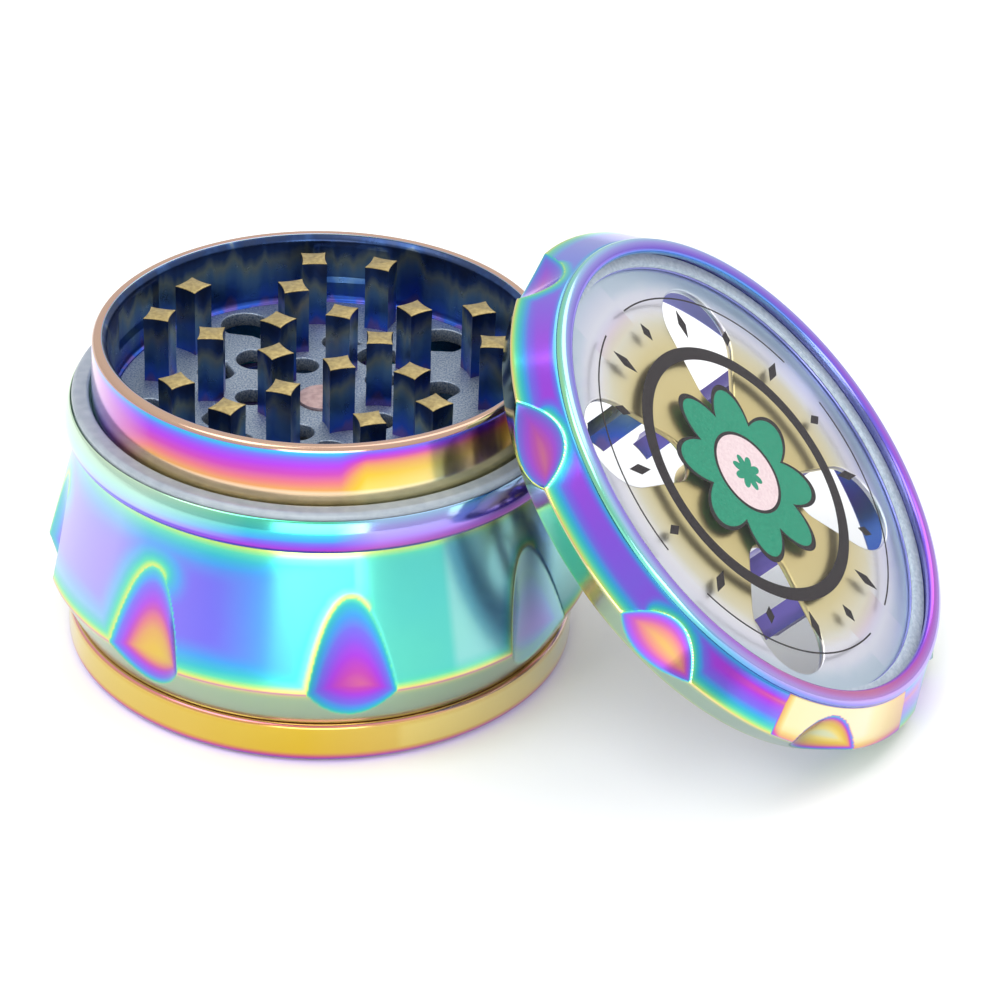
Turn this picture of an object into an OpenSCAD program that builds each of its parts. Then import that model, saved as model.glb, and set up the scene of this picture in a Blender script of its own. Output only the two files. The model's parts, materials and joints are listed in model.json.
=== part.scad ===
// Four-piece herb grinder: catcher, sieve drum, toothed chamber and a windowed lid that leans on the neck.
// Millimetres, +Z up, origin on the axis at the underside of the catcher.

/* [Body] */
// Outer radius of the catcher ring
base_r = 27.7; // [27.6:0.1:28]
// Height of the catcher ring below the drum seam
base_h = 4.6; // [4.4:0.1:4.6]
// Largest radius of the drum
drum_r = 29.8; // [29.4:0.1:30.4]
// Height of the drum's largest radius
drum_z = 9.9; // [9.4:0.1:10.4]
// Radius of the drum at its top seam
seam_r = 25.9; // [25.8:0.1:26.2]
// Radius of the polished bead above the seam
bead_r = 27.4; // [27.2:0.1:27.6]
// Outer radius of the neck
neck_r = 24.5; // [24.4:0.05:24.5]
// Height of the neck's rim
neck_z = 35.9; // [35.7:0.1:36]

/* [Grips] */
// Number of scalloped grips around the drum and around the lid
scallops = 8; // [6:1:10]
// Depth of a scallop at the largest radius
scallop_d = 2.0; // [1:0.1:2]
// Radius of the cutter that leaves a drum scallop
scallop_cut = 7.5; // [6:0.1:8]
// Azimuth of the first drum scallop
scallop_az = -80; // [-90:0.5:-45]

/* [Teeth] */
// Half diagonal of a chamber tooth
tooth_r = 1.95; // [1.6:0.05:2]
// How far a tooth's side curves in
tooth_bow = 0.14; // [0.1:0.02:0.4]
// Height of the chamber teeth above the plate
tooth_h = 7.6; // [6:0.1:7.6]
// Radius of the paired outer teeth
ring_out = 18.0; // [17.8:0.1:18.4]
// Radius of the middle teeth
ring_mid = 11.8; // [11.6:0.1:12]
// Radius of the inner teeth
ring_in = 6.0; // [5.8:0.1:6.2]
// Number of repeats of the tooth pattern
tooth_n = 5; // [4:1:5]

/* [Lid] */
// Largest radius of the lid
lid_r = 31.5; // [31.3:0.1:31.5]
// Inner radius of the bezel around the window
window_r = 26.5; // [26:0.1:26.7]
// Depth of the lid from bezel to skirt edge
lid_h = 7.6; // [7.4:0.1:7.6]
// Number of petal openings in the tooth plate
petals = 4; // [3:1:4]
// Tilt of the leaning lid from level
lid_tilt = 43; // [43:0.5:44]
// Azimuth that the leaning lid faces
lid_az = -18.8; // [-20:0.2:-18]
// Lid centre, X
lid_x = 46.6; // [46.6:0.1:50]
// Lid centre, Y
lid_y = -6.55; // [-7:0.05:-6.5]

/* [Hidden] */
$fn = 96;
drum_b = base_h + 0.05;      // underside of the drum
drum_t = 24.85;              // top face of the drum
flange_z = drum_t + 0.05;    // underside of the bead flange
plate_z = 27.9;              // top of the perforated plate
ledge_z = 28.6;              // seat of the friction ring
skirt_r = 29.7;              // radius of the lid's lower edge
skirt_in = 26.0;             // inside of the lid's skirt
web_z = -3.4;                // underside of the tooth plate
lid_z = 0.03 + skirt_r * sin(lid_tilt) + lid_h * cos(lid_tilt);
GOLD = [0.84, 0.75, 0.38];
BLUE = [0.36, 0.48, 0.82];
NAVY = [0.13, 0.17, 0.28];

// Four-sided peg outline with hollow sides
function peg(r, bow) = [for (k = [0:3]) for (j = [0:4]) let (t = j / 5, a = 90 * k,
  p = r * [cos(a), sin(a)], q = r * [cos(a + 90), sin(a + 90)])
  p + (q - p) * t - bow * 4 * t * (1 - t) * [cos(a + 45), sin(a + 45)]];

module place_lid() { translate([lid_x, lid_y, lid_z]) rotate([0, lid_tilt, lid_az]) children(); }
module spin_ring(n, r, start) { for (k = [0:n - 1]) rotate([0, 0, start + k * 360 / n]) translate([r, 0, 0]) children(); }
module tooth(r, bow, h) { rotate([0, 0, 45]) linear_extrude(h) polygon(peg(r, bow)); }

// Catcher: bottom cup with a spigot that screws into the drum
module catcher_cup() color(GOLD) rotate_extrude() polygon([
  [0, 0], [base_r - 0.6, 0], [base_r - 0.2, 0.18], [base_r, 0.6], [base_r, base_h - 0.4], [base_r - 0.3, base_h],
  [24.8, base_h], [24.8, 8.3], [24.5, 8.6], [23.2, 8.6], [23.2, 3.1], [22.8, 2.2], [21.9, 1.7], [20.8, 1.6], [0, 1.6]]);

// Sieve: stepped frame, fine mesh disc and the split ring that holds it
module sieve_frame() color([0.75, 0.76, 0.78]) rotate_extrude() polygon([
  [22.4, 8.65], [24.8, 8.65], [24.8, 10.35], [23.7, 10.35], [23.7, 9.3], [22.4, 9.3]]);
module sieve_mesh() color([0.7, 0.7, 0.72]) translate([0, 0, 9.3]) cylinder(r = 23.65, h = 0.15);
module sieve_snap_ring() color([0.6, 0.6, 0.62]) translate([0, 0, 9.45])
  rotate([0, 0, 10]) rotate_extrude(angle = 340) translate([22.75, 0]) square([0.85, 0.75]);

// Drum: flared storage barrel with scalloped grips
module drum_body() color(BLUE) difference() {
  rotate_extrude() polygon([
    [25.1, drum_b], [27.2, drum_b], [drum_r - 0.12, drum_z - 0.3], [drum_r, drum_z], [drum_r - 0.1, drum_z + 0.35],
    [seam_r + 0.12, drum_t - 0.35], [seam_r - 0.1, drum_t], [23.9, drum_t], [23.9, 19.2], [24.2, 18.8],
    [24.2, 11.8], [22.9, 11.4], [22.9, 10.45], [25.1, 10.45]]);
  for (k = [0:scallops - 1]) rotate([0, 0, scallop_az + k * 360 / scallops])
    translate([drum_r - scallop_d + scallop_cut, 0, drum_z]) rotate([0, -3.6, 0]) cylinder(r = scallop_cut, h = 30, center = true);
}

// Loose low-friction ring on the chamber's ledge
module friction_ring() color([0.55, 0.6, 0.65]) rotate_extrude() polygon([
  [24.75, ledge_z + 0.02], [26.6, ledge_z + 0.02], [26.6, 29.35], [26.3, 29.65], [25.0, 29.65], [24.75, 29.4]]);

// Chamber: threaded skirt, polished bead, neck and perforated plate
module plate_holes() {
  for (k = [0:tooth_n - 1]) rotate([0, 0, k * 360 / tooth_n]) {
    rotate([0, 0, 49]) translate([18.6, 0, 0]) leaf(2.7, 3.6);
    rotate([0, 0, 61]) translate([11.2, 0, 0]) rotate([0, 0, 90]) leaf(2.3, 3.0);
    rotate([0, 0, 13]) translate([12.9, 0, 0]) rotate([0, 0, 90]) leaf(2.0, 2.6);
    rotate([0, 0, 38]) translate([7.6, 0, 0]) circle(r = 1.7);
  }
}
module leaf(r, l) { circle(r = r); polygon([[0.34 * r, 0.94 * r], [-l, 0], [0.34 * r, -0.94 * r]]); }
module chamber_body() color(NAVY) difference() {
  rotate_extrude() polygon([
    [0, 26.3], [22.1, 26.3], [22.1, 20.8], [22.4, 20.5], [23.3, 20.5], [23.6, 20.8], [23.6, flange_z], [26.3, flange_z],
    [26.9, 25.2], [bead_r - 0.1, 25.8], [bead_r, 26.5], [bead_r, 27.6], [bead_r - 0.1, 28.3], [bead_r - 0.3, 28.85],
    [26.95, 29.0], [26.75, 28.9], [26.75, ledge_z], [neck_r, ledge_z], [neck_r, 29.4], [neck_r - 0.2, neck_z - 0.4],
    [neck_r - 0.5, neck_z], [22.95, neck_z], [22.7, neck_z - 0.3], [22.7, plate_z + 0.5], [22.4, plate_z + 0.1], [22.1, plate_z], [0, plate_z]]);
  translate([0, 0, 26]) linear_extrude(2.2) plate_holes();
  translate([0, 0, 26.9]) cylinder(r = 2.65, h = 2);
  // Shallow upright pockets in the wall
  for (k = [0:tooth_n - 1]) rotate([0, 0, 13 + k * 360 / tooth_n]) translate([21.5, -4.2, 30.2]) cube([1.6, 8.4, 4.4]);
}
module chamber_teeth_outer() color(NAVY) translate([0, 0, plate_z]) for (s = [-12, 12]) spin_ring(tooth_n, ring_out, 13 + s) tooth(tooth_r, tooth_bow, tooth_h);
module chamber_teeth_middle() color(NAVY) translate([0, 0, plate_z]) spin_ring(tooth_n, ring_mid, 37.5) tooth(tooth_r, tooth_bow, tooth_h);
module chamber_teeth_inner() color(NAVY) translate([0, 0, plate_z]) spin_ring(tooth_n, ring_in, 2) tooth(tooth_r, tooth_bow, tooth_h);
module chamber_magnet() color([0.8, 0.7, 0.68]) translate([0, 0, 26.9]) cylinder(r = 2.6, h = 1.25);

// Lid pieces, drawn with the window facing +Z and the bezel plane at zero
module window_seal() color([0.72, 0.77, 0.81]) place_lid() rotate_extrude() polygon([[25.7, -2.23], [27.15, -2.23], [27.15, -1.76], [25.7, -1.76]]);
module lid_window() color([0.85, 0.92, 0.95, 0.4]) place_lid() translate([0, 0, -1.72]) cylinder(r = 27.2, h = 0.82);
module lid_bezel() color([0.62, 0.5, 0.85]) place_lid() rotate_extrude() polygon([
  [window_r, -0.9], [window_r, -0.45], [window_r + 0.15, -0.2], [window_r + 0.45, -0.04], [window_r + 0.8, 0], [27.75, -0.03],
  [28.1, -0.18], [28.28, -0.45], [28.3, -0.9]]);
module lid_body() color([0.55, 0.38, 0.82]) place_lid() difference() {
  rotate_extrude() polygon([
    [27.25, -0.9], [28.35, -0.9], [28.5, -1.0], [lid_r - 0.12, -4.0], [lid_r, -4.3], [lid_r - 0.1, -4.6], [skirt_r + 0.05, -lid_h + 0.12],
    [skirt_r - 0.15, -lid_h], [skirt_in + 0.1, -lid_h], [skirt_in, -lid_h + 0.2], [skirt_in, -2.6], [25.6, -2.6], [25.6, -2.27], [27.25, -2.27]]);
  for (k = [0:scallops - 1]) rotate([0, 0, 4 + k * 360 / scallops])
    translate([lid_r - 1.9 + 8.8, 0, -4.2]) rotate([0, -10, 0]) cylinder(r = 8.8, h = 24, center = true);
}
module tooth_plate() color([0.8, 0.76, 0.55]) place_lid() {
  translate([0, 0, web_z]) linear_extrude(0.8) difference() {
    circle(r = 25.95);
    for (k = [0:petals - 1]) rotate([0, 0, 45 + k * 360 / petals]) hull() {
      translate([18.5, 0]) circle(r = 5.2, $fn = 32);
      translate([11.5, 0]) circle(r = 3, $fn = 32);
    }
  }
  translate([0, 0, -8.3]) cylinder(r = 4.6, h = 8.3 + web_z);
}
module lid_teeth_outer() color(NAVY) place_lid() translate([0, 0, web_z - 6.1]) spin_ring(8, 14.9, 22.5) tooth(1.75, 0.14, 6.1);
module lid_teeth_inner() color(NAVY) place_lid() translate([0, 0, web_z - 6.1]) spin_ring(4, 8.8, 0) tooth(1.6, 0.12, 6.1);
module lid_magnet() color([0.8, 0.78, 0.76]) place_lid() translate([0, 0, -9.3]) cylinder(r = 3.6, h = 1);

catcher_cup();
sieve_frame();
sieve_mesh();
sieve_snap_ring();
drum_body();
friction_ring();
chamber_body();
chamber_teeth_outer();
chamber_teeth_middle();
chamber_teeth_inner();
chamber_magnet();
window_seal();
lid_window();
lid_bezel();
lid_body();
tooth_plate();
lid_teeth_outer();
lid_teeth_inner();
lid_magnet();
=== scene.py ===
import bpy, bmesh, json, math
import numpy as np
from mathutils import Matrix, Vector


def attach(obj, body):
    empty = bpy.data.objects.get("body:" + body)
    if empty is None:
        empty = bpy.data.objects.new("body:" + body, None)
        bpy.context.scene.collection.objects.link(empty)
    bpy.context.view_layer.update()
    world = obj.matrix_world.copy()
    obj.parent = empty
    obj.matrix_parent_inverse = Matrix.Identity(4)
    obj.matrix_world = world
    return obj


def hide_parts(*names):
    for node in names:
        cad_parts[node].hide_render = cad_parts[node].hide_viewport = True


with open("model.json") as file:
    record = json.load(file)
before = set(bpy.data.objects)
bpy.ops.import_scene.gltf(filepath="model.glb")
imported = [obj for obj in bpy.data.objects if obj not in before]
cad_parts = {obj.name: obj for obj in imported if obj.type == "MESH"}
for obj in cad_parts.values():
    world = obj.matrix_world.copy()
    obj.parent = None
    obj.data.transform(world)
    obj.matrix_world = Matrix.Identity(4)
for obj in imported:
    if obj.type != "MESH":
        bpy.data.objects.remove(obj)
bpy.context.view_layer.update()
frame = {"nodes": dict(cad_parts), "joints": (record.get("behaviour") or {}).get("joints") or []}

S = 0.001
NODES = frame["nodes"]
JOINT = {j["name"]: j for j in frame["joints"]}
scene = bpy.context.scene

# ---------------------------------------------------------------- lid frame, from the record's spin joint
spin = JOINT["lid_spin"]
LC = Vector(spin["pos_m"]) / S
LN = Vector(spin["axis"]).normalized()
LAZ = math.atan2(LN.y, LN.x); LT = math.acos(LN.z)
LROT = Matrix.Rotation(LAZ, 3, "Z") @ Matrix.Rotation(LT, 3, "Y")
LR = np.array(LROT); LCn = np.array(LC)

def lin(c):
    c = np.asarray(c, float) / 255.0
    return np.where(c <= 0.04045, c / 12.92, ((c + 0.055) / 1.055) ** 2.4)

def lc(*c):
    v = lin(c); return (float(v[0]), float(v[1]), float(v[2]), 1.0)

# ---------------------------------------------------------------- materials
FILM = [(0.00, (192, 128, 165)), (0.07, (214, 170, 140)), (0.13, (214, 205, 118)), (0.22, (160, 214, 125)), (0.32, (88, 200, 165)),
        (0.42, (62, 175, 190)), (0.52, (72, 148, 216)), (0.63, (112, 106, 216)), (0.74, (130, 88, 214)), (0.86, (160, 66, 206)),
        (0.96, (182, 72, 168)), (1.06, (206, 112, 122)), (1.18, (210, 158, 84)), (1.30, (214, 180, 62)), (1.42, (226, 204, 108)), (1.50, (208, 212, 172))]

def new_mat(name):
    m = bpy.data.materials.new(name); m.use_nodes = True
    nt = m.node_tree; b = nt.nodes["Principled BSDF"]
    return m, nt, b

def link(nt, a, b): nt.links.new(a, b)

def attr(nt, name):
    n = nt.nodes.new("ShaderNodeAttribute"); n.attribute_name = name; return n

def math_node(nt, op, a, b=None, clamp=False):
    n = nt.nodes.new("ShaderNodeMath"); n.operation = op; n.use_clamp = clamp
    for i, v in enumerate((a, b)):
        if v is None: continue
        if isinstance(v, (int, float)): n.inputs[i].default_value = v
        else: link(nt, v, n.inputs[i])
    return n.outputs[0]

def noise(nt, scale, detail=3, vec=None):
    tc = nt.nodes.new("ShaderNodeTexCoord")
    n = nt.nodes.new("ShaderNodeTexNoise"); n.inputs["Scale"].default_value = scale; n.inputs["Detail"].default_value = detail
    link(nt, vec if vec is not None else tc.outputs["Object"], n.inputs["Vector"]); return n.outputs["Fac"]

def film_mat(name, rough=0.13, bump=0.02):
    """Oxide coat: the colour follows a hue ramp whose value is set per vertex from height, edge distance and azimuth
    tables, so it holds painted studio reflections as well as the coating's own hue; a white mix adds painted highlights
    and a grey mix adds painted shade.
    """
    m, nt, b = new_mat(name)
    f = attr(nt, "film_and_painted_reflection"); p = attr(nt, "pale_and_painted_highlight"); d = attr(nt, "grey_and_painted_shade")
    n1 = noise(nt, 95, 2)
    t = math_node(nt, "ADD", f.outputs["Fac"], math_node(nt, "MULTIPLY", math_node(nt, "SUBTRACT", n1, 0.5), 0.05))
    ramp = nt.nodes.new("ShaderNodeValToRGB"); cr = ramp.color_ramp; cr.interpolation = "LINEAR"
    while len(cr.elements) < len(FILM): cr.elements.new(0.5)
    for e, (pos, c) in zip(cr.elements, FILM): e.position = pos / 1.5
    for e, (pos, c) in zip(cr.elements, FILM): e.position = pos / 1.5; e.color = lc(*c)
    link(nt, math_node(nt, "DIVIDE", t, 1.5, True), ramp.inputs["Fac"])
    # painted light: the mix toward near white paints highlights, the mix toward grey paints shade
    mx = nt.nodes.new("ShaderNodeMix"); mx.data_type = "RGBA"; link(nt, p.outputs["Fac"], mx.inputs[0])
    link(nt, ramp.outputs["Color"], mx.inputs[6]); mx.inputs[7].default_value = lc(244, 243, 250)
    mx2 = nt.nodes.new("ShaderNodeMix"); mx2.data_type = "RGBA"; link(nt, d.outputs["Fac"], mx2.inputs[0])
    link(nt, mx.outputs[2], mx2.inputs[6]); mx2.inputs[7].default_value = lc(160, 165, 158)
    link(nt, mx2.outputs[2], b.inputs["Base Color"])
    b.inputs["Metallic"].default_value = 1.0
    n2 = noise(nt, 900, 4)
    r = math_node(nt, "ADD", math_node(nt, "MULTIPLY", n2, 0.05), rough - 0.025)
    link(nt, r, b.inputs["Roughness"])
    bp = nt.nodes.new("ShaderNodeBump"); bp.inputs["Strength"].default_value = bump; bp.inputs["Distance"].default_value = 0.0001
    link(nt, noise(nt, 1500, 3), bp.inputs["Height"]); link(nt, bp.outputs["Normal"], b.inputs["Normal"])
    return m

def simple_mat(name, c1, c2, metallic=1.0, rough=0.3, scale=900, bump=0.1, spec=None, lo=0.35, hi=0.65):
    m, nt, b = new_mat(name)
    n1 = noise(nt, scale, 5)
    ramp = nt.nodes.new("ShaderNodeValToRGB"); cr = ramp.color_ramp
    cr.elements[0].position = lo; cr.elements[0].color = lc(*c1); cr.elements[1].position = hi; cr.elements[1].color = lc(*c2)
    link(nt, n1, ramp.inputs["Fac"]); link(nt, ramp.outputs["Color"], b.inputs["Base Color"])
    b.inputs["Metallic"].default_value = metallic
    r = math_node(nt, "ADD", math_node(nt, "MULTIPLY", noise(nt, scale * 0.6, 3), 0.12), rough - 0.06)
    link(nt, r, b.inputs["Roughness"])
    bp = nt.nodes.new("ShaderNodeBump"); bp.inputs["Strength"].default_value = bump; bp.inputs["Distance"].default_value = 0.0002
    link(nt, noise(nt, scale * 1.5, 4), bp.inputs["Height"]); link(nt, bp.outputs["Normal"], b.inputs["Normal"])
    return m

M_FILM = film_mat("rainbow_film", 0.14, 0.015)
M_BASE = film_mat("gold_film", 0.16, 0.02)
M_DRUM = film_mat("drum_film", 0.2, 0.012)
M_POLISH = film_mat("polished_film", 0.15, 0.004)
M_SATIN = film_mat("satin_film", 0.34, 0.12)
M_PLATE = simple_mat("speckled_plate", (108, 128, 156), (186, 194, 200), 0.75, 0.45, 5200, 0.25, lo=0.36, hi=0.66)
M_TOP = simple_mat("tooth_top", (150, 132, 88), (178, 160, 108), 0.8, 0.42, 2500, 0.15)
M_MAGNET = simple_mat("magnet_nickel", (196, 160, 156), (222, 190, 184), 0.8, 0.35, 1500, 0.1)
M_STEEL = simple_mat("woven_steel", (120, 122, 126), (190, 192, 196), 0.9, 0.35, 5200, 0.6)
M_ALU = simple_mat("machined_aluminium", (170, 172, 178), (200, 202, 206), 0.95, 0.28, 1800, 0.1)
M_SEAL = simple_mat("pale_silicone", (172, 186, 198), (200, 210, 218), 0.0, 0.5, 2200, 0.15)
M_INK = simple_mat("dark_ink", (34, 27, 28), (44, 36, 37), 0.0, 0.45, 2600, 0.05)
M_GREEN = simple_mat("green_ink", (26, 128, 98), (36, 140, 108), 0.0, 0.45, 2600, 0.05)
M_PINK = simple_mat("pink_ink", (218, 192, 194), (228, 206, 206), 0.0, 0.45, 2600, 0.05)

for m_ in (M_INK, M_GREEN, M_PINK): m_.node_tree.nodes["Principled BSDF"].inputs["Specular IOR Level"].default_value = 0.12

def nylon():
    m, nt, b = new_mat("grey_nylon")
    n1 = noise(nt, 700, 3); ramp = nt.nodes.new("ShaderNodeValToRGB"); cr = ramp.color_ramp
    cr.elements[0].color = lc(150, 162, 174); cr.elements[1].color = lc(196, 206, 214)
    link(nt, n1, ramp.inputs["Fac"]); link(nt, ramp.outputs["Color"], b.inputs["Base Color"])
    link(nt, math_node(nt, "ADD", math_node(nt, "MULTIPLY", n1, 0.1), 0.12), b.inputs["Roughness"])
    b.inputs["Transmission Weight"].default_value = 0.35; b.inputs["IOR"].default_value = 1.5
    return m
def glass():
    """Clear acrylic: see-through, with a mirror reflection that grows towards grazing angles."""
    m, nt, b = new_mat("clear_window")
    n1 = noise(nt, 60, 2); ramp = nt.nodes.new("ShaderNodeValToRGB"); cr = ramp.color_ramp
    cr.elements[0].color = lc(240, 246, 250); cr.elements[1].color = lc(252, 253, 255)
    link(nt, n1, ramp.inputs["Fac"]); link(nt, ramp.outputs["Color"], b.inputs["Base Color"])
    b.inputs["Metallic"].default_value = 1.0
    link(nt, math_node(nt, "ADD", math_node(nt, "MULTIPLY", n1, 0.01), 0.02), b.inputs["Roughness"])
    tr = nt.nodes.new("ShaderNodeBsdfTransparent"); tr.inputs["Color"].default_value = (0.985, 0.99, 0.995, 1)
    lw = nt.nodes.new("ShaderNodeLayerWeight"); lw.inputs["Blend"].default_value = 0.5
    k = math_node(nt, "ADD", math_node(nt, "MULTIPLY", math_node(nt, "POWER", lw.outputs["Facing"], 4.0), 0.2), 0.006)
    mx = nt.nodes.new("ShaderNodeMixShader"); link(nt, k, mx.inputs[0])
    link(nt, tr.outputs[0], mx.inputs[1]); link(nt, b.outputs[0], mx.inputs[2])
    link(nt, mx.outputs[0], nt.nodes["Material Output"].inputs["Surface"])
    return m
M_NYLON = nylon(); M_GLASS = glass()

# ---------------------------------------------------------------- mesh helpers
def add_mesh(name, verts, faces, mats, attrs=None, mat_idx=None, smooth=True):
    me = bpy.data.meshes.new(name)
    me.from_pydata([tuple(v) for v in (np.asarray(verts) * S)], [], [tuple(f) for f in faces])
    for a, v in (attrs or {}).items():
        at = me.attributes.new(a, "FLOAT", "POINT"); at.data.foreach_set("value", np.asarray(v, np.float32).ravel())
    for m in mats: me.materials.append(m)
    if mat_idx is not None: me.polygons.foreach_set("material_index", np.asarray(mat_idx, np.int32))
    me.polygons.foreach_set("use_smooth", [smooth] * len(me.polygons))
    me.update()
    o = bpy.data.objects.new(name, me); scene.collection.objects.link(o)
    return o

def rounded(pts, rad=0.15, n=4):
    """Closed outline of (r, z, tag) with its corners rounded; a tag belongs to the segment that starts there."""
    out = []; N = len(pts)
    for i in range(N):
        p0, p1, p2 = (np.array(pts[(i + k) % N][:2], float) for k in (-1, 0, 1))
        t0, t1 = pts[i - 1][2], pts[i][2]
        a, b = p0 - p1, p2 - p1; la, lb = np.hypot(*a), np.hypot(*b)
        k = min(rad, 0.45 * la, 0.45 * lb)
        A, B = p1 + a / la * k, p1 + b / lb * k
        for j in range(n + 1):
            t = j / n
            q = A * (1 - t) ** 2 + 2 * p1 * t * (1 - t) + B * t * t
            out.append((q[0], q[1], t0 if t < 0.5 else t1))
    return out

def dense(pts, step=0.4):
    out = []; N = len(pts)
    for i in range(N):
        p, q = np.array(pts[i][:2]), np.array(pts[(i + 1) % N][:2])
        n = max(1, int(math.ceil(np.hypot(*(q - p)) / step)))
        for j in range(n):
            t = j / n; v = p + (q - p) * t; out.append((v[0], v[1], pts[i][2]))
    return out

def cutter(phi, z, az0, n, a0, tilt, z0, R):
    """Inner surface radius of the scallop cutters, at azimuth phi and height z; large where no cutter is."""
    step = 2 * math.pi / n
    d = (phi - az0 + step / 2) % step - step / 2
    k = math.cos(tilt); xa = a0 - (z - z0) * math.tan(tilt)
    c, s = np.cos(d), np.sin(d)
    A = c * c * k * k + s * s; B = -2 * c * k * k * xa; C = k * k * xa * xa - R * R
    disc = B * B - 4 * A * C
    r = np.where(disc > 0, (-B - np.sqrt(np.maximum(disc, 0))) / (2 * A), 99.0)
    idx = np.round((phi - az0 - d) / step).astype(int) % n
    return r, idx, d

def revolve(name, prof, naz, mats, paint, cut=None, M=None, mat_of=None):
    P = np.array([(p[0], p[1]) for p in prof]); G = np.array([p[2] for p in prof])
    phi = np.arange(naz) * 2 * math.pi / naz
    R, PH = np.meshgrid(P[:, 0], phi, indexing="ij"); Z = np.repeat(P[:, 1][:, None], naz, 1)
    GG = np.repeat(G[:, None], naz, 1)
    m = np.full(R.shape, 99.0); idx = np.zeros(R.shape, int); dd = np.zeros(R.shape)
    if cut is not None:
        rc, idx, dd = cut(PH, Z)
        m = rc - R
        on = np.isin(GG, ("side", "under", "edge"))
        k = 0.10
        h = np.clip(0.5 + 0.5 * (rc - R) / k, 0, 1)
        sm = rc * (1 - h) + R * h - k * h * (1 - h)
        mc = np.clip(m, -5, 5); arc = np.concatenate([[0], np.cumsum(np.hypot(*np.diff(P, axis=0).T) + 1e-6)])
        slope = np.hypot((np.roll(mc, -1, 1) - np.roll(mc, 1, 1)) / (2 * (2 * math.pi / naz) * R), np.gradient(mc, arc, axis=0))
        near = mc / np.maximum(slope, 0.15)
        neg = (m < 0) & on; open_ = ~neg
        rim = neg & (np.roll(open_, 1, 1) | np.roll(open_, -1, 1) | np.roll(open_, 1, 0) | np.roll(open_, -1, 0))
        bx, by, bz_ = (q[rim][::2] for q in (R * np.cos(PH), R * np.sin(PH), Z))
        far = np.full(R.shape, 30.0)
        for row in np.nonzero(on.any(axis=1))[0]:
            x, y, z = R[row] * np.cos(phi), R[row] * np.sin(phi), Z[row]
            far[row] = np.sqrt(((x[:, None] - bx) ** 2 + (y[:, None] - by) ** 2 + (z[:, None] - bz_) ** 2).min(axis=1))
        w = np.clip((far - 0.5) / 0.9, 0, 1)
        m = np.where(m > 0, np.maximum(np.minimum(near, 4) * (1 - w) + far * w, 0), m)
        R = np.where(on, np.minimum(sm, R), R)
    X, Y = R * np.cos(PH), R * np.sin(PH)
    V = np.stack([X, Y, Z], -1).reshape(-1, 3)
    att = paint(R, Z, PH, GG, m, idx, dd)
    if M is not None: V = V @ LR.T + LCn
    n = len(P)
    i, j = np.meshgrid(np.arange(n), np.arange(naz), indexing="ij")
    a = i * naz + j; b = ((i + 1) % n) * naz + j; c = ((i + 1) % n) * naz + (j + 1) % naz; d = i * naz + (j + 1) % naz
    F = np.stack([a, d, c, b], -1).reshape(-1, 4)
    # outward orientation from the outline's sense
    area = np.sum(P[:, 0] * np.roll(P[:, 1], -1) - np.roll(P[:, 0], -1) * P[:, 1])
    if area < 0: F = F[:, ::-1]
    mi = None
    if mat_of is not None: mi = np.repeat([mat_of(g) for g in G], naz)
    return add_mesh(name, V, F, mats, {k2: v.reshape(-1) for k2, v in zip(("film_and_painted_reflection", "pale_and_painted_highlight", "grey_and_painted_shade"), att)}, mi)

def lerp(x, xs, ys): return np.interp(x, xs, ys)
def wrap(a): return (np.degrees(a) + 90 + 180) % 360 - 180   # 0 at the front, + to the right
def smin(a, b, k):
    h = np.clip(0.5 + 0.5 * (b - a) / k, 0, 1); return b * (1 - h) + a * h - k * h * (1 - h)

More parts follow.
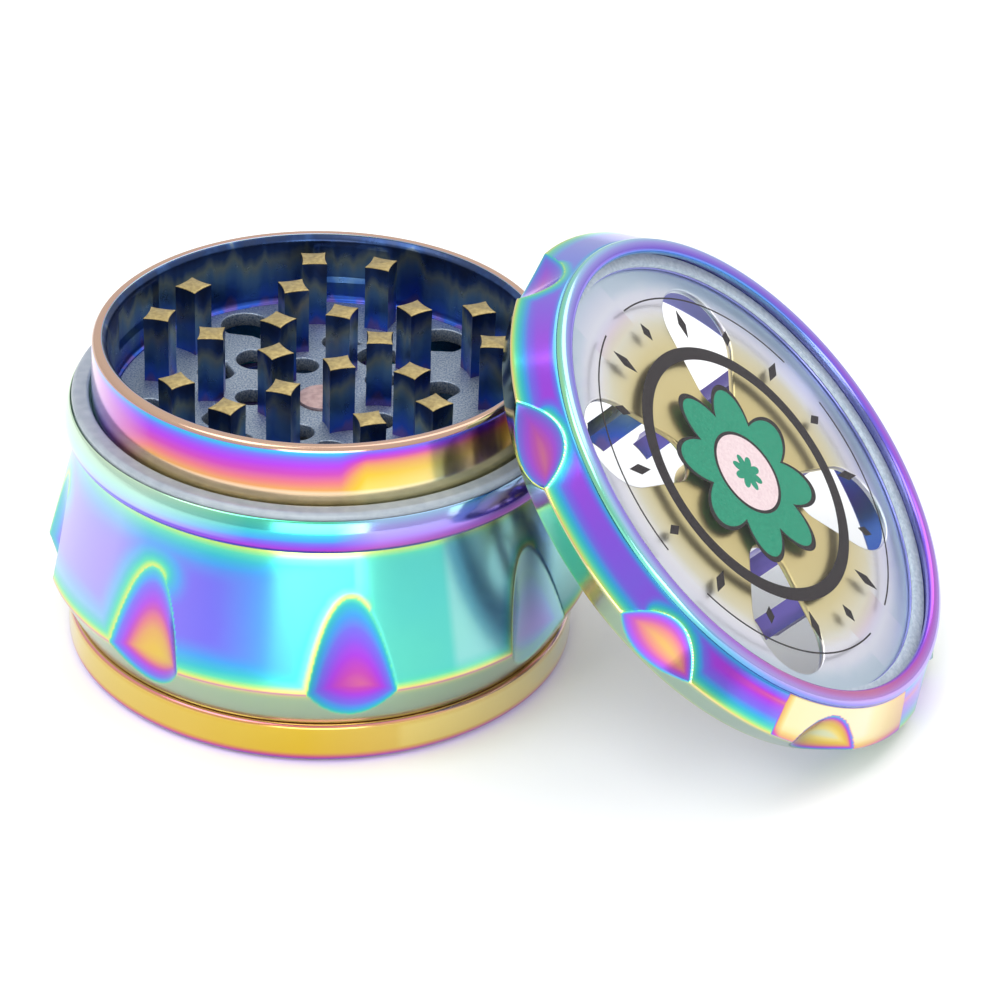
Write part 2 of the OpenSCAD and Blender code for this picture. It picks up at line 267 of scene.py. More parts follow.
# ---------------------------------------------------------------- drum
def paint_drum(R, Z, PH, G, m, idx, dd):
    psi = wrap(PH)
    # painted reflection: tc and the white mix table are read against the view azimuth (0 at the front) and copy the
    # studio's reflections into the hue, the sharp step near +11 degrees being a softbox edge
    tc = lerp(psi, [-180, -140, -100, -75, -50, -30, -18, -6, 3, 10.3, 11.3, 31, 33, 60, 80, 110, 150, 180],
              [0.86, 0.74, 0.66, 0.70, 0.68, 0.66, 0.62, 0.52, 0.45, 0.43, 0.35, 0.37, 0.37, 0.39, 0.36, 0.45, 0.66, 0.86])
    painted_highlight_by_azimuth = lerp(psi, [-180, -100, -70, -48, -38, -20, 11, 12, 31, 33, 60, 85, 120, 180], [0.1, 0.2, 0.34, 0.26, 0.08, 0.0, 0.0, 0.02, 0.03, 0.2, 0.26, 0.3, 0.1, 0.1])
    f = lambda d: lerp(d, [0, .18, .45, .9, 1.6, 2.8, 4.4, 7, 12], [0.0, .12, .22, .33, .43, .54, .66, .78, .9])
    ft = lambda d: lerp(d, [0, .25, .6, 1.1, 2, 3.2, 5, 8], [.1, .17, .25, .35, .46, .57, .68, .8])
    fs = lambda d: lerp(d, [0, .25, .6, 1.1, 1.8, 2.8, 4.5, 8], [.14, .2, .3, .38, .47, .57, .7, .85])
    ds = np.maximum(m, 0); db = np.maximum(Z - 9.9, 0) * 1.03; dt = np.maximum(24.85 - Z, 0) * 1.03
    t = smin(smin(tc, fs(ds), .06), smin(f(db), ft(dt), .05), .06)
    inside = m < 0; dep = np.maximum(-m, 0)
    # pockets: the hue deepens with depth; the per-pocket gain, white mix and side shift paint each pocket's own
    # reflection
    gain = np.array([1.0, 0.66, 0.9, 1.15, 0.8, 1.05, 0.85, 1.3])[idx % 8]
    pocket_painted_highlight = np.array([0.0, 0.35, 0.1, 0.0, 0.2, 0.0, 0.1, 0.05])[idx % 8]
    side = np.degrees(dd)
    ti = lerp(dep, [0, .12, .35, .7, 1.1, 1.5, 1.9], [.27, .4, .5, .62, .78, .9, .98]) * (1 + (gain - 1) * np.clip(dep / .6, 0, 1)) + 0.012 * side * np.clip(dep, 0, 1)
    film_and_painted_reflection = np.where(inside, ti, t); pale_and_painted_highlight = np.where(inside, pocket_painted_highlight, painted_highlight_by_azimuth * np.clip(np.minimum(ds, db) / 2, 0.3, 1)); grey_and_painted_shade = np.zeros(R.shape)
    # underside chamfer: the grey mix rising away from its edges is painted shade, the floor's shadow in reflection
    und = (G == "under")
    du = np.abs(Z - 9.9) ; dl = np.abs(Z - 4.65)
    fu = lerp(np.minimum(du, dl), [0, .2, .5, 1.2], [.02, .1, .2, .27])
    film_and_painted_reflection = np.where(und & ~inside, fu, film_and_painted_reflection); grey_and_painted_shade = np.where(und & ~inside, lerp(np.minimum(du, dl), [0, .25, .8], [.1, .35, .62]), grey_and_painted_shade); pale_and_painted_highlight = np.where(und & ~inside, .1, pale_and_painted_highlight)
    inn = (G == "in"); film_and_painted_reflection = np.where(inn, .6 + .1 * np.sin(Z), film_and_painted_reflection); pale_and_painted_highlight = np.where(inn, .1, pale_and_painted_highlight); grey_and_painted_shade = np.where(inn, .2, grey_and_painted_shade)
    top = (G == "edge"); film_and_painted_reflection = np.where(top, .1, film_and_painted_reflection); grey_and_painted_shade = np.where(top, .3, grey_and_painted_shade)
    return film_and_painted_reflection, pale_and_painted_highlight, grey_and_painted_shade
DR = [(25.1, 4.65, "in"), (27.2, 4.65, "under"), (29.8, 9.9, "side"), (25.9, 24.75, "edge"), (25.8, 24.85, "edge"), (23.9, 24.85, "in"), (23.9, 19.2, "in"),
      (24.2, 18.8, "in"), (24.2, 11.8, "in"), (22.9, 11.4, "in"), (22.9, 10.45, "in"), (25.1, 10.45, "in")]
DR[0] = (25.1, 4.65, "edge")
drum_cut = lambda ph, z: cutter(ph, z, math.radians(-80), 8, 29.8 - 2.0 + 7.5, math.radians(3.6), 9.9, 7.5)
drum = revolve("drum_shell", dense(rounded(DR, 0.16), 0.22), 960, [M_DRUM], paint_drum, drum_cut)
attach(drum, "drum"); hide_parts("drum_body")

# ---------------------------------------------------------------- catcher
def paint_cup(R, Z, PH, G, m, idx, dd):
    psi = wrap(PH)
    # painted reflection: the azimuth table is read against the view and carries the studio's reflections in the hue;
    # the white mix by azimuth paints highlights and the grey mix on the side near 70 to 90 degrees paints shade where
    # the wall turns edge-on
    base = lerp(psi, [-180, -120, -90, -60, -30, 0, 20, 22, 50, 75, 120, 180], [1.2, 1.3, 1.44, 1.38, 1.33, 1.3, 1.29, 1.36, 1.4, 1.47, 1.3, 1.2])
    low = lerp(Z, [0, .25, .55, .95, 1.4], [.72, .82, .93, 1.1, 1.5]); hi = lerp(4.6 - Z, [0, .15, .4, .9], [.95, 1.1, 1.25, 1.5])
    film_and_painted_reflection = np.minimum(np.minimum(base, low), np.where(G == "side", hi, 1.3))
    pale_and_painted_highlight = lerp(psi, [-180, -85, -60, 0, 30, 60, 85, 180], [.05, .35, .1, 0, .12, .25, .4, .05]) * np.ones(R.shape)
    inn = G == "in"; film_and_painted_reflection = np.where(inn, 1.3, film_and_painted_reflection); pale_and_painted_highlight = np.where(inn, .1, pale_and_painted_highlight)
    grey_and_painted_shade = np.where(inn, .2, 0.0) + lerp(np.abs(psi), [0, 68, 88, 180], [0, 0, .45, .1]) * (G == "side")
    return film_and_painted_reflection, pale_and_painted_highlight, grey_and_painted_shade
CU = [(0.01, 0, "in"), (27.1, 0, "side"), (27.7, 0.6, "side"), (27.7, 4.3, "side"), (27.4, 4.6, "in"), (24.8, 4.6, "in"), (24.8, 8.4, "in"), (24.55, 8.6, "in"), (23.2, 8.6, "in"),
      (23.2, 3.0, "in"), (22.4, 1.95, "in"), (20.8, 1.6, "in"), (0.01, 1.6, "in")]
cup = revolve("catcher_shell", dense(rounded(CU, 0.2), 0.5), 360, [M_BASE], paint_cup)
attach(cup, "catcher"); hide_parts("catcher_cup")

# ---------------------------------------------------------------- chamber
def paint_chamber(R, Z, PH, G, m, idx, dd):
    psi = wrap(PH)
    film_and_painted_reflection = np.zeros(R.shape); pale_and_painted_highlight = np.zeros(R.shape); grey_and_painted_shade = np.zeros(R.shape)
    h = (Z - 29.5) / 6.4
    # neck: hue tables for the left, right and far side of the view paint the studio's reflections into the hue, with a
    # softbox edge at about +11 degrees; the white mix paints the far side's highlight, the bright panel to the right
    # and the bottom band
    left = lerp(h, [0, .12, .35, .6, .75, .86, .93, 1.0], [1.34, 1.26, 1.08, .92, .8, .56, .4, .16])
    right = lerp(h, [0, .25, .5, .7, .8, .88, .95, 1.0], [1.44, 1.4, 1.3, 1.12, .95, .8, .45, .16])
    far = lerp(h, [0, .3, .55, .8, .92, 1.0], [.5, .75, .92, .98, .5, .2])
    wr = lerp(psi, [-180, 8, 14, 150, 180], [0, 0, 1, 1, 0]); wl = lerp(psi, [-180, -140, -75, -42, 180], [0, 1, 1, 0, 0])
    neck = left * (1 - wr) + right * wr; neck = neck * (1 - wl) + far * wl
    s = G == "neck"; film_and_painted_reflection = np.where(s, neck, film_and_painted_reflection); pale_and_painted_highlight = np.where(s, .45 * wl + .25 * wr * (1 - h) * lerp(psi, [14, 45], [0, 1]), pale_and_painted_highlight); pale_and_painted_highlight = np.where(s & (h < .25), np.maximum(pale_and_painted_highlight, .3), pale_and_painted_highlight)
    # bead: hue tables paint its reflections; the white mix paints the broad mint highlight on the left and the
    # highlight on the right
    b = np.clip((Z - 24.9) / 4.1, 0, 1)
    bl = lerp(b, [0, .12, .3, .5, .7, .9, 1], [.12, .96, .8, .52, .4, .34, .3]); br = lerp(b, [0, .12, .3, .55, .8, 1], [.12, .95, .88, .72, .62, .45])
    w = lerp(psi, [-180, 6, 16, 150, 180], [0, 0, 1, 1, 0]); wm = lerp(psi, [-180, -140, -62, -38, -12, 180], [0, 1, 1, .8, 0, 0])
    s = G == "bead"; film_and_painted_reflection = np.where(s, (bl * (1 - w) + br * w) * (1 - .25 * wm), film_and_painted_reflection); pale_and_painted_highlight = np.where(s, .5 * wm * (b > .3) + .35 * w * b, pale_and_painted_highlight)
    s = G == "rim"; film_and_painted_reflection = np.where(s, 1.14, film_and_painted_reflection); grey_and_painted_shade = np.where(s, .4, grey_and_painted_shade); pale_and_painted_highlight = np.where(s, .1, pale_and_painted_highlight)
    s = G == "in"; film_and_painted_reflection = np.where(s, .55 + .12 * (Z - 28) / 8, film_and_painted_reflection)
    return film_and_painted_reflection, pale_and_painted_highlight, grey_and_painted_shade
def navy():
    """Dark blue coat of the chamber's inside, graded by height: near black above, blue near the plate; the gold and
    violet bands are painted reflections.
    """
    m, nt, b = new_mat("navy_coat_painted_reflection")
    tc = nt.nodes.new("ShaderNodeTexCoord"); sp = nt.nodes.new("ShaderNodeSeparateXYZ"); link(nt, tc.outputs["Object"], sp.inputs[0])
    mp = nt.nodes.new("ShaderNodeMapping"); mp.inputs["Scale"].default_value = (1, 1, 0.12); link(nt, tc.outputs["Object"], mp.inputs["Vector"])
    wav = noise(nt, 420, 2, mp.outputs[0])
    z = math_node(nt, "MULTIPLY", math_node(nt, "SUBTRACT", sp.outputs["Z"], 0.0278), 1 / 0.0082)
    zz = math_node(nt, "ADD", z, math_node(nt, "MULTIPLY", math_node(nt, "SUBTRACT", wav, 0.5), 0.9), True)
    ramp = nt.nodes.new("ShaderNodeValToRGB"); cr = ramp.color_ramp
    st = [(0.0, (96, 84, 156)), (0.1, (46, 84, 184)), (0.3, (58, 98, 160)), (0.5, (96, 130, 160)), (0.66, (140, 150, 140)), (0.8, (58, 84, 130)), (0.93, (46, 64, 104)), (1.0, (52, 66, 98))]
    while len(cr.elements) < len(st): cr.elements.new(0.5)
    for e, (p, c) in zip(cr.elements, st): e.position = p
    for e, (p, c) in zip(cr.elements, st): e.position = p; e.color = lc(*c)
    link(nt, zz, ramp.inputs["Fac"]); link(nt, ramp.outputs["Color"], b.inputs["Base Color"])
    b.inputs["Metallic"].default_value = 0.95
    link(nt, math_node(nt, "ADD", math_node(nt, "MULTIPLY", noise(nt, 800, 3), 0.1), 0.24), b.inputs["Roughness"])
    bp = nt.nodes.new("ShaderNodeBump"); bp.inputs["Strength"].default_value = 0.12; bp.inputs["Distance"].default_value = 0.0002
    link(nt, noise(nt, 1400, 3), bp.inputs["Height"]); link(nt, bp.outputs["Normal"], b.inputs["Normal"])
    return m
M_NAVY_PAINTED_REFLECTION = navy()
CH = [(22.1, 26.35, "in"), (22.1, 20.8, "in"), (22.4, 20.5, "in"), (23.3, 20.5, "in"), (23.6, 20.8, "in"), (23.6, 24.9, "bead"), (26.3, 24.9, "bead"), (26.95, 25.25, "bead"),
      (27.3, 25.8, "bead"), (27.42, 26.55, "bead"), (27.42, 27.1, "bead"), (27.32, 27.8, "bead"), (27.1, 28.4, "bead"), (26.9, 28.8, "bead"), (26.75, 28.92, "bead"), (26.75, 28.6, "bead"),
      (24.5, 28.6, "neck"), (24.5, 29.4, "neck"), (24.3, 35.5, "rim"), (24.0, 35.9, "rim"), (23.2, 35.9, "navy"), (22.7, 35.35, "navy"), (22.7, 28.5, "navy"), (22.45, 28.05, "navy"), (22.1, 27.9, "navy"), (22.1, 27.0, "navy")]
ch = revolve("chamber_shell", dense(rounded(CH, 0.25), 0.3), 480, [M_POLISH, M_NAVY_PAINTED_REFLECTION], paint_chamber, mat_of=lambda g: 1 if g == "navy" else 0)
# shallow upright pockets in the inner wall
me = ch.data
co = np.zeros(len(me.vertices) * 3); me.vertices.foreach_get("co", co); co = co.reshape(-1, 3) / S
r = np.hypot(co[:, 0], co[:, 1]); az = np.degrees(np.arctan2(co[:, 1], co[:, 0]))
d = (az - 13 + 36) % 72 - 36
hw = np.degrees(4.2 / 22.7)
inwall = (r > 22.6) & (r < 22.8) & (co[:, 2] > 30.2) & (co[:, 2] < 34.6) & (np.abs(d) < hw)
co[inwall, :2] *= (23.1 / r[inwall])[:, None]
me.vertices.foreach_set("co", (co * S).ravel()); me.update()
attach(ch, "chamber"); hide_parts("chamber_body")

def curve_piece(name, splines, z0, z1, mats, lid=False, bevel=0.05, dish=None, cuts=0):
    """Flat piece from outlines, the first outside and the rest holes or islands, as a closed mesh between z0 and z1."""
    cu = bpy.data.curves.new(name, "CURVE"); cu.dimensions = "2D"; cu.fill_mode = "BOTH"
    for pts in splines:
        sp = cu.splines.new("POLY"); sp.points.add(len(pts) - 1); sp.use_cyclic_u = True
        for q, p in zip(sp.points, pts): q.co = (p[0] * S, p[1] * S, 0, 1)
    cu.extrude = ((z1 - z0) / 2 - bevel) * S; cu.bevel_depth = bevel * S; cu.bevel_resolution = 1; cu.offset = -bevel * S
    tmp = bpy.data.objects.new(name + "_c", cu); scene.collection.objects.link(tmp)
    dg = bpy.context.evaluated_depsgraph_get(); me = bpy.data.meshes.new_from_object(tmp.evaluated_get(dg))
    bpy.data.objects.remove(tmp); me.name = name
    bm = bmesh.new(); bm.from_mesh(me)
    bmesh.ops.remove_doubles(bm, verts=bm.verts, dist=1e-6)
    if cuts:
        for _ in range(cuts):
            long = [e for e in bm.edges if e.calc_length() > 0.0016]
            bmesh.ops.subdivide_edges(bm, edges=long, cuts=1, use_grid_fill=False)
            bmesh.ops.triangulate(bm, faces=[f for f in bm.faces if len(f.verts) > 4])
    for v in bm.verts:
        v.co.z += (z0 + z1) / 2 * S
        if dish: v.co.z += dish(v.co.x / S, v.co.y / S) * S
    bmesh.ops.recalc_face_normals(bm, faces=bm.faces)
    if lid:
        for v in bm.verts: v.co = LROT @ v.co + LC * S
    bm.to_mesh(me); bm.free()
    me.materials.clear()
    for m in mats: me.materials.append(m)
    o = bpy.data.objects.new(name, me); scene.collection.objects.link(o)
    return o

def circ(cx, cy, r, n=48, a0=0): return [(cx + r * math.cos(a0 + 2 * math.pi * i / n), cy + r * math.sin(a0 + 2 * math.pi * i / n)) for i in range(n)]
def rot2(pts, a, dx=0.0):
    c, s = math.cos(a), math.sin(a); return [((x + dx) * c - y * s, (x + dx) * s + y * c) for x, y in pts]
def leaf(r, l, n=26):
    """Drop outline: a round end and a point at -l."""
    a = math.acos(-r * 0.34 / r); pts = []
    for i in range(n + 1):
        t = -a + 2 * a * i / n; pts.append((r * math.cos(t) if abs(t) < a else -0.34 * r, r * math.sin(t)))
    pts = [(r * math.cos(t), r * math.sin(t)) for t in np.linspace(-1.92, 1.92, n)] + [(-l * .75, .16 * r), (-l, 0), (-l * .75, -.16 * r)]
    return pts
holes = []
for k in range(5):
    A = math.radians(72 * k)
    holes.append(rot2(leaf(2.7, 3.6), A + math.radians(49), 18.6))
    for a, rad, rr, ll in ((61, 11.2, 2.3, 3.0), (13, 12.9, 2.0, 2.6)):
        pts = [(x * math.cos(math.pi / 2) - y * math.sin(math.pi / 2) + rad, x * math.sin(math.pi / 2) + y * math.cos(math.pi / 2)) for x, y in leaf(rr, ll)]
        holes.append(rot2(pts, A + math.radians(a)))
    holes.append(rot2(circ(7.6, 0, 1.7, 28), A + math.radians(38)))
plate = curve_piece("chamber_plate", [circ(0, 0, 22.15, 180)] + holes + [circ(0, 0, 2.65, 48)], 26.3, 27.9, [M_PLATE], bevel=0.14)
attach(plate, "chamber")

# ---------------------------------------------------------------- teeth
def tooth_mat(name, zaxis):
    return M_NAVY_PAINTED_REFLECTION
def peg(r, bow, n=8):
    pts = []
    for k in range(4):
        a = math.radians(90 * k + 45); p = np.array([math.cos(a), math.sin(a)]) * r; a2 = a + math.pi / 2
        q = np.array([math.cos(a2), math.sin(a2)]) * r; c = a + math.pi / 4
        for j in range(n):
            t = j / n; v = p + (q - p) * t - bow * 4 * t * (1 - t) * np.array([math.cos(c), math.sin(c)]); pts.append(tuple(v))
    return pts
def teeth(name, places, r, bow, z0, z1, body, node, lid=False, up=True, top=M_TOP):
    V = []; F = []; MI = []
    for rad, a in places:
        base = rot2(peg(r, bow), math.radians(a), rad); cx, cy = rad * math.cos(math.radians(a)), rad * math.sin(math.radians(a))
        n = len(base); off = len(V)
        zt, zb = (z1, z0) if up else (z0, z1)
        s = 1 if up else -1
        lev = [(zb, 1.0), (zb + s * (abs(z1 - z0) * .33), .985), (zb + s * (abs(z1 - z0) * .66), .985), (zt - s * 0.10, 1.0), (zt - s * 0.03, 0.985), (zt, .945)]
        for z, k in lev: V += [((x - cx) * k + cx, (y - cy) * k + cy, z) for x, y in base]
        for L in range(len(lev) - 1):
            for i in range(n):
                q = [off + L * n + i, off + L * n + (i + 1) % n, off + (L + 1) * n + (i + 1) % n, off + (L + 1) * n + i]
                F.append(q if up else q[::-1]); MI.append(1 if L >= 3 else 0)
        t = [off + (len(lev) - 1) * n + i for i in range(n)]; b = [off + i for i in range(n)]
        F.append(t if up else t[::-1]); MI.append(1); F.append(b[::-1] if up else b); MI.append(0)
    V = np.array(V)
    if lid: V = V @ LR.T + LCn
    o = add_mesh(name, V, F, [M_NAVY_PAINTED_REFLECTION, top], None, MI, smooth=False)
    for p in o.data.polygons: p.use_smooth = len(p.vertices) == 4
    o.data.set_sharp_from_angle(angle=math.radians(38))
    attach(o, body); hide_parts(node)
    return o
five = [72 * k for k in range(5)]
teeth("teeth_outer", [(18.0, a + 13 + s) for s in (-12, 12) for a in five], 1.95, 0.15, 27.85, 35.5, "chamber", "chamber_teeth_outer")
teeth("teeth_middle", [(11.8, a + 37.5) for a in five], 1.95, 0.15, 27.85, 35.5, "chamber", "chamber_teeth_middle")
teeth("teeth_inner", [(6.0, a + 2) for a in five], 1.95, 0.15, 27.85, 35.5, "chamber", "chamber_teeth_inner")

# ---------------------------------------------------------------- friction ring
FR = [(24.75, 28.62, "n"), (26.6, 28.62, "n"), (26.6, 29.4, "n"), (26.3, 29.65, "n"), (25.0, 29.65, "n"), (24.75, 29.4, "n")]
def flat(R, Z, PH, G, m, idx, dd): return np.zeros(R.shape), np.zeros(R.shape), np.zeros(R.shape)
fr = revolve("friction_band", dense(rounded(FR, 0.2), 0.3), 360, [M_NYLON], flat)
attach(fr, "ring"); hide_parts("friction_ring")

# ---------------------------------------------------------------- lid
def paint_lid(R, Z, PH, G, m, idx, dd):
    b = np.degrees(PH) % 360      # 0 downhill, on the table side
    # painted reflection: tc and the white mix table are read against the azimuth and copy the studio's and the floor's
    # reflections into the hue; the white mix is strongest on the lower side over the table
    tc = lerp(b, [0, 40, 90, 140, 180, 205, 225, 245, 262, 280, 290, 297, 303, 306, 330, 345, 360],
              [1.5, 1.2, .9, .62, .6, .8, .84, .78, .70, .82, .9, .98, 1.04, 1.44, 1.47, 1.2, 1.5])
    painted_highlight_by_azimuth = lerp(b, [0, 60, 120, 180, 215, 300, 304, 306, 335, 346, 352, 360], [.3, .1, .1, .1, 0, 0, .05, .26, .3, .2, .25, .3])
    dz = Z + 4.3               # distance above the largest radius
    db = np.maximum(dz, 0) * 1.38; dt = np.maximum(-.95 - Z, 0) * 1.38; ds = np.maximum(m, 0)
    f = lambda d: lerp(d, [0, .15, .4, .8, 1.3, 2.0, 3.0, 5], [.04, .16, .26, .38, .5, .66, .85, 1.5])
    ft = lambda d: lerp(d, [0, .3, .8, 1.6], [.5, .62, .85, 1.5])
    t = smin(smin(tc, f(db), .06), smin(f(ds) + .12, ft(dt), .05), .06)
    t = np.where((b > 304) & (b < 346), tc - .42 * np.clip(1 - db / 1.7, 0, 1) ** 2, t)
    inside = m < 0; dep = np.maximum(-m, 0)
    # pockets: the hue deepens with depth; the per-pocket gain and side shift paint each pocket's own reflection
    gain = np.array([0.9, 1.0, .8, 1.1, .9, 1.0, 1.18, 1.5])[idx % 8]
    ti = lerp(dep, [0, .07, .2, .4, .8, 1.3, 1.9], [.3, .42, .54, .68, .82, .92, 1.0]) * (1 + (gain - 1) * np.clip(dep / .4, 0, 1)) + .01 * np.degrees(dd) * np.clip(dep, 0, 1)
    film_and_painted_reflection = np.where(inside, ti, t); pale_and_painted_highlight = np.where(inside, 0.05, painted_highlight_by_azimuth * np.clip(db, .35, 1)); grey_and_painted_shade = np.zeros(R.shape)
    # underside: the grey mix rising away from its edges is painted shade
    und = G == "under"; u = np.minimum(np.abs(dz), np.abs(Z + 7.6))
    und = und & ~inside; film_and_painted_reflection = np.where(und, lerp(u, [0, .25, .7], [.1, .2, .28]), film_and_painted_reflection); grey_and_painted_shade = np.where(und, lerp(u, [0, .2, .7], [.15, .45, .68]), grey_and_painted_shade); pale_and_painted_highlight = np.where(und, .12, pale_and_painted_highlight)
    inn = G == "in"; film_and_painted_reflection = np.where(inn, .62, film_and_painted_reflection); grey_and_painted_shade = np.where(inn, .25, grey_and_painted_shade); pale_and_painted_highlight = np.where(inn, .1, pale_and_painted_highlight)
    # edge next to the bezel: the white mix paints its cyan-white highlight
    ed = G == "edge"; film_and_painted_reflection = np.where(ed, .5, film_and_painted_reflection); pale_and_painted_highlight = np.where(ed, .3, pale_and_painted_highlight)
    return film_and_painted_reflection, pale_and_painted_highlight, grey_and_painted_shade
LD = [(27.25, -0.9, "edge"), (28.4, -0.9, "side"), (31.5, -4.3, "under"), (29.7, -7.55, "edge"), (29.6, -7.6, "edge"), (26.05, -7.6, "in"), (26.0, -2.6, "in"), (25.6, -2.6, "in"), (25.6, -2.27, "in"), (27.25, -2.27, "in")]
lid_cut = lambda ph, z: cutter(ph, z, math.radians(4), 8, 31.5 - 1.9 + 8.8, math.radians(10), -4.2, 8.8)
lid = revolve("lid_shell", dense(rounded(LD, 0.2), 0.2), 960, [M_FILM], paint_lid, lid_cut, M=1)
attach(lid, "lid"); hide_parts("lid_body")

def paint_bezel(R, Z, PH, G, m, idx, dd):
    b = np.degrees(PH) % 360
    # painted reflection: the azimuth table and the shifts across the bead's width paint its reflections; the white mix
    # peaking toward the outer side paints the highlight
    tc = lerp(b, [0, 60, 120, 180, 230, 270, 300, 330, 360], [.82, .74, .62, .6, .56, .66, .86, .92, .82])
    w = (R - 26.5) / 1.8
    film_and_painted_reflection = tc + lerp(w, [0, .2, .5, .8, 1], [-.1, .1, .05, -.1, -.3]); pale_and_painted_highlight = lerp(w, [0, .3, .6, .85, 1], [.0, .1, .25, .35, .1]) * np.ones(R.shape)
    return film_and_painted_reflection, pale_and_painted_highlight, np.where(G == "in", .4, 0.0)
BZ = [(26.5, -0.9, "in"), (26.5, -0.45, "b"), (26.62, -0.2, "b"), (26.95, -0.04, "b"), (27.3, 0, "b"), (27.75, -0.03, "b"), (28.1, -0.18, "b"), (28.28, -0.45, "b"), (28.3, -0.9, "in")]
bz = revolve("bezel_ring", dense(rounded(BZ, 0.12), 0.15), 480, [M_POLISH], paint_bezel, M=1)
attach(bz, "lid"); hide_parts("lid_bezel")

WN = [(0.01, -1.72, "n"), (27.2, -1.72, "n"), (27.2, -0.95, "n"), (0.01, -0.95, "n")]
wn = revolve("window_disc", dense(rounded(WN, 0.05), 1.5), 240, [M_GLASS], flat, M=1)
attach(wn, "lid"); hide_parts("lid_window")
NODES["window_seal"].data.materials.clear(); NODES["window_seal"].data.materials.append(M_SEAL)

# flat web with four petal openings and the hub
def petal(n=28):
    """Round outer lobe, narrower inner lobe, tangent sides."""
    c1, r1, c2, r2 = 18.5, 5.2, 11.5, 3.0
    a = math.acos((r1 - r2) / (c1 - c2)); pts = []
    for t in np.linspace(-math.pi + a, math.pi - a, n): pts.append((c1 + r1 * math.cos(t), r1 * math.sin(t)))
    for t in np.linspace(math.pi - a, math.pi + a, 14): pts.append((c2 + r2 * math.cos(t), r2 * math.sin(t)))
    return pts
web = curve_piece("web_plate", [circ(0, 0, 25.93, 160)] + [rot2(petal(), math.radians(45 + 90 * k)) for k in range(4)], -3.4, -2.62, [M_SATIN], lid=True, bevel=0.2, cuts=4)
me = web.data
co = np.zeros(len(me.vertices) * 3); me.vertices.foreach_get("co", co); loc = (co.reshape(-1, 3) / S - LCn) @ LR
rr = np.hypot(loc[:, 0], loc[:, 1])
film_and_painted_reflection = lerp(rr, [0, 8, 16, 20, 23, 26], [1.38, 1.34, 1.4, 1.45, .48, .46]); pale_and_painted_highlight = lerp(rr, [0, 16, 19, 20.6, 22.7, 24, 26], [.1, .2, .42, .94, .94, .62, .6]); grey_and_painted_shade = lerp(rr, [0, 20, 24, 26], [.1, .15, .3, .3])
for a, v in (("film_and_painted_reflection", film_and_painted_reflection), ("pale_and_painted_highlight", pale_and_painted_highlight), ("grey_and_painted_shade", grey_and_painted_shade)):
    at = me.attributes.new(a, "FLOAT", "POINT"); at.data.foreach_set("value", v.astype(np.float32))
hubp = [(0.01, -3.38, "n"), (0.01, -8.3, "n"), (4.6, -8.3, "n"), (4.6, -3.9, "n"), (5.2, -3.38, "n")]
def paint_hub(R, Z, PH, G, m, idx, dd): return np.full(R.shape, 1.36), np.full(R.shape, .15), np.full(R.shape, .1)
hub = revolve("web_hub", dense(rounded(hubp, 0.2), 0.5), 120, [M_SATIN], paint_hub, M=1)
for o in (web, hub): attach(o, "lid")
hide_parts("tooth_plate")
teeth("lid_pegs_outer", [(14.9, 22.5 + 45 * k) for k in range(8)], 1.75, 0.14, -9.5, -3.35, "lid", "lid_teeth_outer", lid=True, up=False)
teeth("lid_pegs_inner", [(8.8, 90 * k) for k in range(4)], 1.6, 0.13, -9.5, -3.35, "lid", "lid_teeth_inner", lid=True, up=False)

# printed design: ring, lozenges, fine arcs and an eight-petal rosette
def ink(name, splines, mat, z=-1.80, t=0.05):
    o = curve_piece(name, splines, z - t / 2, z + t / 2, [mat], lid=True, bevel=0.008)
    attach(o, "lid"); return o
ring = circ(0, 0, 15.4, 180)
ink("print_ring", [ring, circ(0, 0, 13.85, 120)], M_INK)
loz = []
for k in range(16):
    L = 1.75 if k % 2 == 0 else 1.1
    loz.append(rot2([(18.3 - L, 0), (18.3, -.62), (18.3 + L, 0), (18.3, .62)], math.radians(22.5 * k + 11.25)))
ink("print_lozenges", loz, M_INK)
arcs = []
for k in range(4):
    a0, a1 = math.radians(90 * k + 8), math.radians(90 * k + 82)
    o_ = [(21.6 * math.cos(a), 21.6 * math.sin(a)) for a in np.linspace(a0, a1, 40)]; i_ = [(21.42 * math.cos(a), 21.42 * math.sin(a)) for a in np.linspace(a1, a0, 40)]
    arcs.append(o_ + i_)
ink("print_arcs", arcs, M_INK)
def rosette(R0, amp, n=8, pts=240, ph=0): return [((R0 + amp * abs(math.cos(n * a / 2 + ph))) * math.cos(a), (R0 + amp * abs(math.cos(n * a / 2 + ph))) * math.sin(a)) for a in np.linspace(0, 2 * math.pi, pts + 1)[:-1]]
ink("print_outline", [rosette(7.4, 3.6), rosette(6.8, 3.5)], M_INK)
ink("print_green", [rosette(6.8, 3.5), circ(0, 0, 5.0, 72)], M_GREEN)
ink("print_inner_line", [circ(0, 0, 5.0, 72), circ(0, 0, 4.6, 72)], M_INK)
ink("print_centre", [circ(0, 0, 4.6, 72), rosette(1.3, .9, 8, 96, math.pi / 2)], M_PINK)
ink("print_star", [rosette(1.3, .9, 8, 96, math.pi / 2)], M_GREEN)

# ---------------------------------------------------------------- carried-over CAD nodes
for n, m in (("chamber_magnet", M_MAGNET), ("lid_magnet", M_MAGNET), ("sieve_frame", M_ALU), ("sieve_mesh", M_STEEL), ("sieve_snap_ring", M_STEEL)):
    d = NODES[n].data; d.materials.clear(); d.materials.append(m)

# ---------------------------------------------------------------- stage, light and camera
bpy.ops.mesh.primitive_plane_add(size=6, location=(0, 0, -0.0001)); floor = bpy.context.object; floor.name = "floor"
m, nt, b = new_mat("pale_floor"); b.inputs["Base Color"].default_value = (0.93, 0.93, 0.93, 1); b.inputs["Roughness"].default_value = 0.6; b.inputs["Specular IOR Level"].default_value = 0.1
floor.data.materials.append(m)

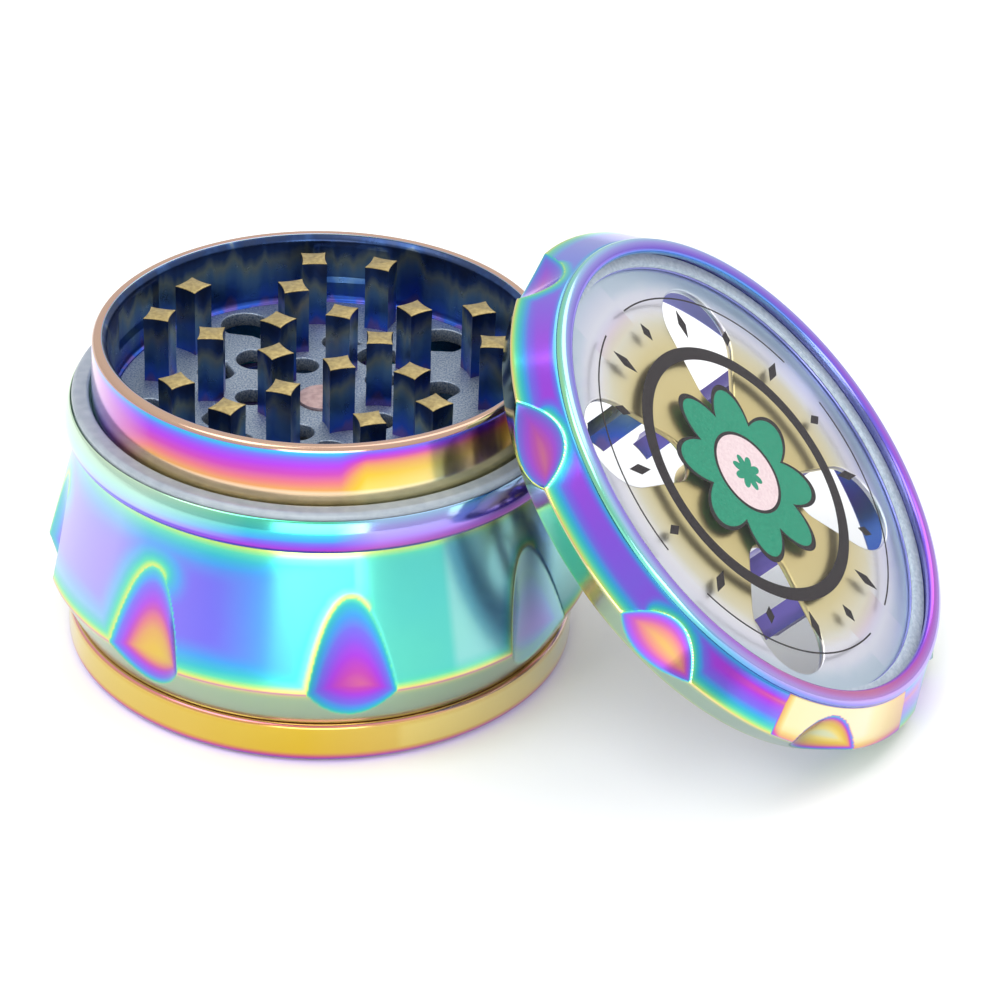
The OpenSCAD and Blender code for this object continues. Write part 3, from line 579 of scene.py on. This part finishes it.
w = bpy.data.worlds.new("studio"); scene.world = w; w.use_nodes = True; nt = w.node_tree
bg = nt.nodes["Background"]; bg.inputs["Strength"].default_value = 1.0
tc = nt.nodes.new("ShaderNodeTexCoord"); sp = nt.nodes.new("ShaderNodeSeparateXYZ"); nt.links.new(tc.outputs["Generated"], sp.inputs[0])
rp = nt.nodes.new("ShaderNodeValToRGB"); cr = rp.color_ramp
cr.elements[0].position = 0.0; cr.elements[0].color = (0.85, 0.85, 0.87, 1); cr.elements[1].position = 1.0; cr.elements[1].color = (1.12, 1.12, 1.12, 1)
mp = nt.nodes.new("ShaderNodeMapRange"); mp.inputs[1].default_value = -0.2; mp.inputs[2].default_value = 1.0
nt.links.new(sp.outputs["Z"], mp.inputs[0]); nt.links.new(mp.outputs[0], rp.inputs["Fac"]); nt.links.new(rp.outputs["Color"], bg.inputs["Color"])

def area(name, loc, target, size, power):
    l = bpy.data.lights.new(name, "AREA"); l.size = size; l.energy = power
    o = bpy.data.objects.new(name, l); scene.collection.objects.link(o); o.location = loc
    o.rotation_euler = (Vector(target) - Vector(loc)).to_track_quat("-Z", "Y").to_euler()
area("key", (-0.35, -0.25, 0.75), (0.02, 0, 0.02), 0.5, 2.2)
area("top", (0.25, 0.3, 0.7), (0.02, 0, 0.02), 0.6, 1.6)
area("fill", (0.02, -0.3, 0.05), (0.035, 0, 0.02), 0.2, 0.5)

e = math.radians(31.15); ro = math.radians(2.34); U = 27.7; D = 13.11 * U
pos = Vector((0.700 * U, -D * math.cos(e), 0.583 * U + D * math.sin(e))) * S
fwd = Vector((0, math.cos(e), -math.sin(e))); right = Vector((1, 0, 0)); up = right.cross(fwd)
rt = right * math.cos(ro) + up * math.sin(ro); u2 = up * math.cos(ro) - right * math.sin(ro)
cam = bpy.data.cameras.new("camera"); co_ = bpy.data.objects.new("camera", cam); scene.collection.objects.link(co_)
co_.matrix_world = Matrix(((rt.x, u2.x, -fwd.x, pos.x), (rt.y, u2.y, -fwd.y, pos.y), (rt.z, u2.z, -fwd.z, pos.z), (0, 0, 0, 1)))
cam.sensor_width = 36; cam.lens = 36 * 3342 / 1000; cam.clip_start = 0.01; cam.clip_end = 20
scene.camera = co_
scene.view_settings.view_transform = "Standard"; scene.view_settings.look = "None"
